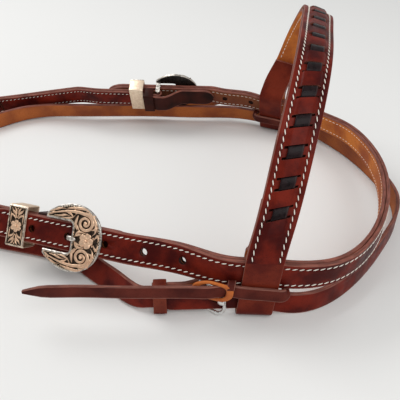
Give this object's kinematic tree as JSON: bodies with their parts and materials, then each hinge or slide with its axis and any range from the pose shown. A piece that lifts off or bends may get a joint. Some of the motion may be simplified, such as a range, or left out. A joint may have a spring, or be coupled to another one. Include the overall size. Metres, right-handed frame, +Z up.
{
  "type": "western headstall",
  "caption": "Western bridle headstall of dark leather with a buckstitched browband, engraved cart buckles, metal keepers, tie strings and screw-closed bit ends.",
  "frame": {"origin": "centre of the underside of the part's box, on the surface that the headstall lies on", "axes": "+X runs from the bit ends to the back of the coiled crown, +Y runs from the near side to the off side, +Z is up out of the surface, along the standing browband"},
  "size_m": [0.443, 0.29, 0.1431],
  "materials": {
    "strap_grain": "smooth harness grain, dark red brown",
    "loop_grain": "smooth dark grain, waxed",
    "flesh": "undyed flesh side, oiled orange tan",
    "lace_black": "semi-gloss dark lace",
    "tie_leather": "latigo with raw edges",
    "old_silver": "antiqued, dark in the hollows",
    "copper": "raised copper scrolls, polished",
    "nickel": "bright nickel plate"
  },
  "bodies": {
    "straps": {"crown_strap": "strap_grain", "crown_lining": "flesh", "throat_latch_strap": "strap_grain", "near_cheek_strap": "strap_grain", "off_cheek_strap": "strap_grain", "near_buckle_chafe": "strap_grain", "off_buckle_chafe": "strap_grain", "near_inner_keeper": "loop_grain", "off_inner_keeper": "loop_grain", "near_bit_post_1": "nickel", "near_bit_post_2": "nickel", "near_bit_screw_1": "nickel", "near_bit_screw_2": "nickel", "off_bit_post_1": "nickel", "off_bit_post_2": "nickel", "off_bit_screw_1": "nickel", "off_bit_screw_2": "nickel"},
    "near_buckle": {"near_buckle_frame": "old_silver", "near_buckle_overlay": "copper"},
    "near_tongue": {"near_buckle_tongue": "old_silver"},
    "off_buckle": {"off_buckle_frame": "old_silver", "off_buckle_overlay": "copper"},
    "off_tongue": {"off_buckle_tongue": "old_silver"},
    "near_keeper": {"near_metal_keeper": "old_silver", "near_keeper_overlay": "copper"},
    "off_keeper": {"off_metal_keeper": "old_silver", "off_keeper_overlay": "copper"},
    "throat_buckle": {"throat_latch_buckle_frame": "nickel"},
    "throat_tongue": {"throat_latch_buckle_tongue": "nickel"},
    "throat_keeper": {"throat_latch_keeper": "loop_grain"},
    "browband": {"browband_front": "strap_grain", "browband_lining": "flesh", "browband_lace": "lace_black", "near_tie_string": "tie_leather", "off_tie_string": "tie_leather"}
  },
  "joints": [
    {"name": "near_buckle_swing", "type": "hinge", "parent": "straps", "child": "near_buckle", "pos_m": [-0.02374, -0.08875, 0.02552], "axis": [-0.162, -0.5045, -0.848], "range_deg": [0, 1.5]},
    {"name": "near_tongue_swing", "type": "hinge", "parent": "near_buckle", "child": "near_tongue", "pos_m": [-0.02374, -0.08875, 0.02552], "axis": [-0.162, -0.5045, -0.848], "range_deg": [0, 1]},
    {"name": "off_buckle_swing", "type": "hinge", "parent": "straps", "child": "off_buckle", "pos_m": [0.02951, 0.11064, 0.03033], "axis": [-0.0273, -0.4217, 0.9063], "range_deg": [0, 1.5]},
    {"name": "off_tongue_swing", "type": "hinge", "parent": "off_buckle", "child": "off_tongue", "pos_m": [0.02951, 0.11064, 0.03033], "axis": [-0.0273, -0.4217, 0.9063], "range_deg": [0, 1]},
    {"name": "near_keeper_slide", "type": "slide", "parent": "straps", "child": "near_keeper", "axis": [-0.9521, 0.3057, 0], "range_m": [-0.003, 0.012]},
    {"name": "off_keeper_slide", "type": "slide", "parent": "straps", "child": "off_keeper", "axis": [-0.9979, 0.0645, 0], "range_m": [0, 0.012]},
    {"name": "throat_buckle_swing", "type": "hinge", "parent": "straps", "child": "throat_buckle", "pos_m": [0.06972, -0.12998, 0.01098], "axis": [0.003, -0.0697, -0.9976], "range_deg": [0, 1]},
    {"name": "throat_tongue_swing", "type": "hinge", "parent": "throat_buckle", "child": "throat_tongue", "pos_m": [0.06972, -0.12998, 0.01098], "axis": [0.003, -0.0697, -0.9976], "range_deg": [0, 1]},
    {"name": "throat_keeper_slide", "type": "slide", "parent": "straps", "child": "throat_keeper", "axis": [0.999, 0.0436, 0], "range_m": [-0.002, 0.004]},
    {"name": "browband_slide", "type": "slide", "parent": "straps", "child": "browband", "axis": [0.9659, -0.2588, 0], "range_m": [-0.0005, 0.002]}
  ]
}
